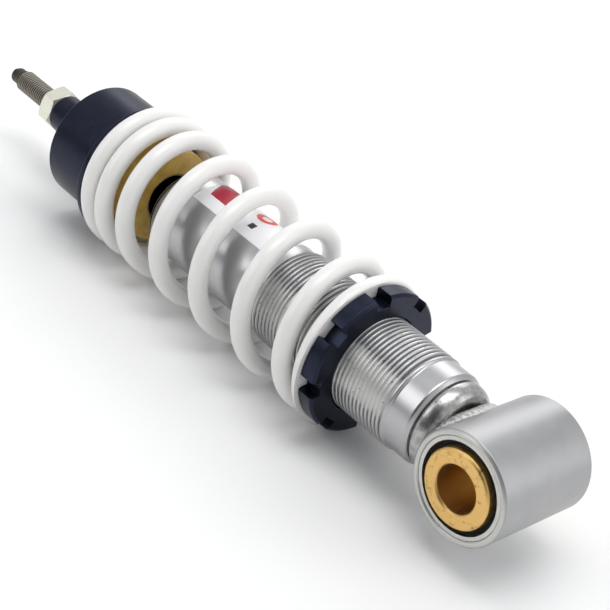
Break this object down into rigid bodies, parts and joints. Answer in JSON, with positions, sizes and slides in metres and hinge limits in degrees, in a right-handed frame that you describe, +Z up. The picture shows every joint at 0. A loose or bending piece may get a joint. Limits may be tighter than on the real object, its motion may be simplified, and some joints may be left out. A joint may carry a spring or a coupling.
{
  "type": "coilover shock absorber",
  "caption": "Damper with a lower eye bush, a threaded body, a castellated ring nut under a white progressive coil spring, a dark spring cap and a threaded top stud.",
  "frame": {"origin": "centre of the lower eye's bore, on the damper's axis", "axes": "+X along the damper from the lower eye to the top stud, +Y along the lower eye's bore, +Z up with the part lying on its side"},
  "size_m": [0.3313, 0.0634, 0.0634],
  "materials": {
    "eye_steel": "satin",
    "bare_steel": "satin",
    "tube_steel": "brushed",
    "sleeve_gold": "satin",
    "rubber": "matt",
    "foil": "gloss",
    "anodised_navy": "satin",
    "plain_aluminium": "machined",
    "chromed_steel": "ground",
    "powder_coat": "gloss",
    "zinc_steel": "plated",
    "amber_polyurethane": "matt",
    "bearing_bronze": "matt",
    "band_plastic": "matt",
    "wiper_plastic": "matt"
  },
  "bodies": {
    "lower_sleeve": {"bush_inner_sleeve": "sleeve_gold"},
    "damper_body": {"bush_rubber": "rubber", "bush_outer_shell": "bare_steel", "eye_tube": "eye_steel", "eye_weld": "bare_steel", "end_cap": "eye_steel", "body_tube": "tube_steel", "label": "foil", "inner_cylinder": "bare_steel", "base_valve": "bearing_bronze", "base_valve_spacer": "bare_steel", "base_valve_shims": "bare_steel", "rod_guide": "plain_aluminium", "guide_bush": "bearing_bronze", "oil_seal": "rubber", "seal_garter_spring": "bare_steel", "gland_o_ring": "rubber", "gland_nut": "bare_steel", "gland_dust_seal": "rubber", "rod_wiper": "wiper_plastic"},
    "bump_carrier": {"bump_washer": "bare_steel", "bump_stop": "amber_polyurethane"},
    "rod_and_cap": {"piston_rod": "chromed_steel", "piston": "bearing_bronze", "piston_band": "band_plastic", "rebound_shims": "bare_steel", "compression_shims": "bare_steel", "shim_washer": "bare_steel", "piston_nut": "zinc_steel", "top_out_washer": "bare_steel", "top_out_bumper": "rubber", "top_cap": "anodised_navy", "lock_nut": "zinc_steel"},
    "spring": {"coil_spring": "powder_coat"},
    "collar": {"preload_collar": "anodised_navy"}
  },
  "joints": [
    {"name": "bush_twist", "type": "hinge", "parent": "lower_sleeve", "child": "damper_body", "pos_m": [0, 0, 0], "axis": [0, 1, 0], "range_deg": [-12, 12], "stiffness_Nm_per_rad": 370},
    {"name": "stroke", "type": "slide", "parent": "damper_body", "child": "bump_carrier", "axis": [1, 0, 0], "range_m": [-0.036, 0], "stiffness_N_per_m": 38000, "springref_m": 0.008, "deforming": ["coil_spring", "bump_stop"]},
    {"name": "rod_spin", "type": "hinge", "parent": "bump_carrier", "child": "rod_and_cap", "pos_m": [0.24, 0, 0], "axis": [1, 0, 0], "continuous": true},
    {"name": "preload_travel", "type": "slide", "parent": "damper_body", "child": "spring", "axis": [1, 0, 0], "range_m": [-0.008, 0.018], "deforming": ["coil_spring"]},
    {"name": "preload_spin", "type": "hinge", "parent": "spring", "child": "collar", "pos_m": [0.07025, 0, 0], "axis": [1, 0, 0], "range_deg": [-1445, 3245]}
  ],
  "couplings": [
    {"joint": "preload_spin", "follows": "preload_travel", "rad_per_m": 3141.6}
  ]
}
